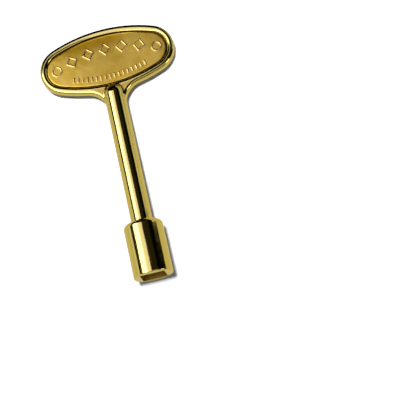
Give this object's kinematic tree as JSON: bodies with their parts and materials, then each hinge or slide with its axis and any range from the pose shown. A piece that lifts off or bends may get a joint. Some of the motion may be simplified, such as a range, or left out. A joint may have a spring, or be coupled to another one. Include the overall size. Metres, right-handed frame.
{
  "type": "square socket key",
  "caption": "Hand key for square valve stems: flat oval grip with a sunk field, round shank and a deep stepped square socket, in brass.",
  "frame": {"origin": "centre of the socket's square mouth, on the key's axis", "axes": "+Y up the axis from the mouth to the bow, +Z square to the bow's face (the patterned side up), X across the bow"},
  "size_m": [0.0466, 0.0882, 0.013],
  "materials": {
    "polished_brass": "polished",
    "satin_brass": "satin, finely grained"
  },
  "bodies": {
    "root": {"bow": "polished_brass", "shank": "polished_brass", "socket": "polished_brass", "front_badge": "satin_brass", "back_badge": "satin_brass"}
  },
  "joints": []
}
